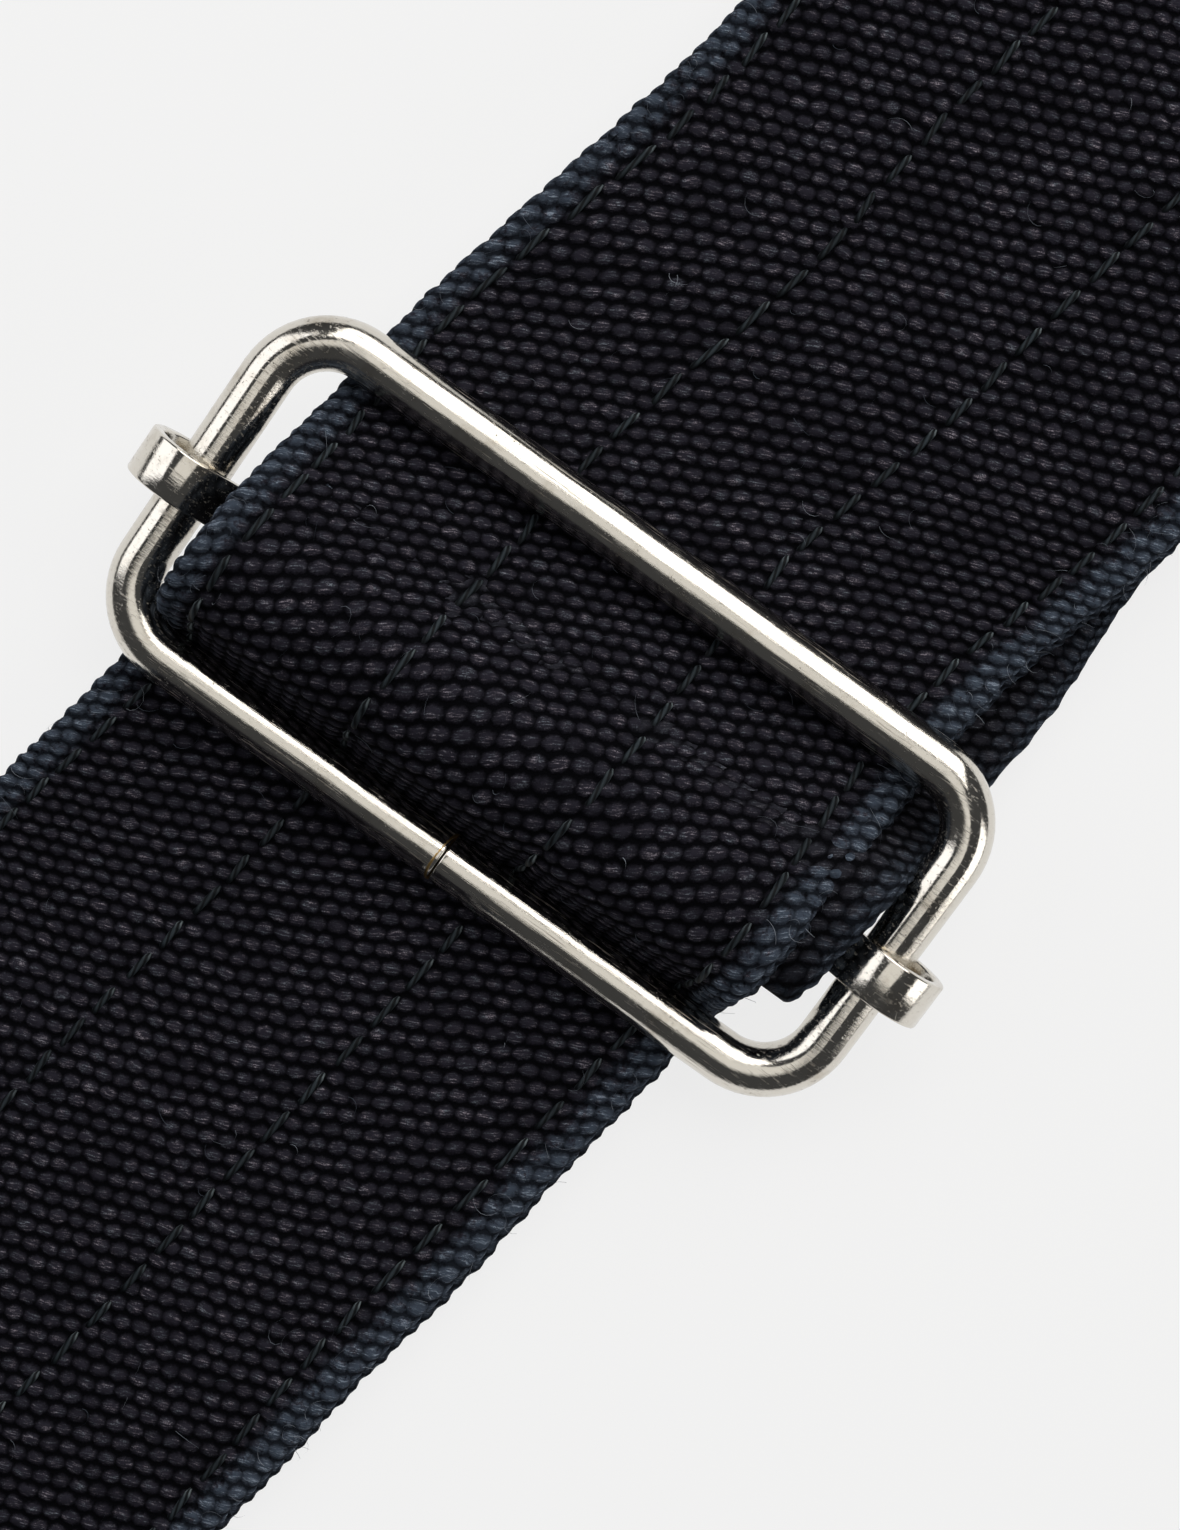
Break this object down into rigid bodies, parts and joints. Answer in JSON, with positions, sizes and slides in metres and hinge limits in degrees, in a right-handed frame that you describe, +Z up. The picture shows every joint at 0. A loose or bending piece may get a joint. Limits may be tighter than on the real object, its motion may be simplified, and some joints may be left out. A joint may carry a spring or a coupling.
{
  "type": "guitar strap",
  "caption": "Adjustable guitar strap of stitched canvas, laid flat with its long end rolled up, with a wire slider, a wire ring and leather button tabs.",
  "frame": {"origin": "on the underside of the strap's straight stretch, 80 mm before the middle of the slider", "axes": "+X along the strap towards the ring and the tail tab, +Y across the strap, +Z up from the surface that it lies on"},
  "size_m": [0.5633, 0.0696, 0.0576],
  "materials": {
    "canvas": "black cotton canvas, plain weave, worn blue-grey at the edges",
    "thread": "twisted cotton thread",
    "nickel": "polished nickel plate with fine scratches and pits",
    "leather": "black grain leather, satin, raw cut edges"
  },
  "bodies": {
    "long_run": {"long_run_face_ply": "canvas", "long_run_back_ply": "canvas", "long_run_stitching": "thread", "front_tab_outer": "leather", "front_tab_lining": "leather", "front_tab_stitching": "thread"},
    "centre_bar": {"slider_centre_bar": "nickel", "slider_pass_face_ply": "canvas", "slider_pass_back_ply": "canvas", "slider_pass_stitching": "thread", "bar_loop_face_ply": "canvas", "bar_loop_back_ply": "canvas", "bar_loop_stitching": "thread"},
    "wire_frame": {"slider_frame": "nickel"},
    "ring_loop": {"ring_loop_face_ply": "canvas", "ring_loop_back_ply": "canvas", "ring_loop_stitching": "thread"},
    "wire_ring": {"tail_ring": "nickel"},
    "tail_tab": {"tail_tab_outer": "leather", "tail_tab_lining": "leather", "tail_tab_stitching": "thread"}
  },
  "joints": [
    {"name": "slider_travel", "type": "slide", "parent": "long_run", "child": "centre_bar", "axis": [1, 0, 0], "range_m": [-0.03, 0.05], "deforming": ["slider_pass_face_ply", "slider_pass_back_ply", "slider_pass_stitching"]},
    {"name": "frame_shift", "type": "slide", "parent": "centre_bar", "child": "wire_frame", "axis": [0.9771, 0.1443, 0.1564], "range_m": [-0.0006, 0.0012]},
    {"name": "ring_follow", "type": "slide", "parent": "centre_bar", "child": "ring_loop", "axis": [1, 0, 0], "range_m": [-0.025, 0.015], "deforming": ["bar_loop_face_ply", "bar_loop_back_ply", "bar_loop_stitching"]},
    {"name": "ring_swing", "type": "hinge", "parent": "ring_loop", "child": "wire_ring", "pos_m": [0.22, 0, 0.0053], "axis": [0, -1, 0], "range_deg": [-40, 75]},
    {"name": "tail_tab_swing", "type": "hinge", "parent": "wire_ring", "child": "tail_tab", "pos_m": [0.236, 0, 0.0049], "axis": [0, -1, 0], "range_deg": [-60, 90]}
  ],
  "couplings": [
    {"joint": "ring_follow", "follows": "slider_travel", "ratio": -0.5}
  ]
}
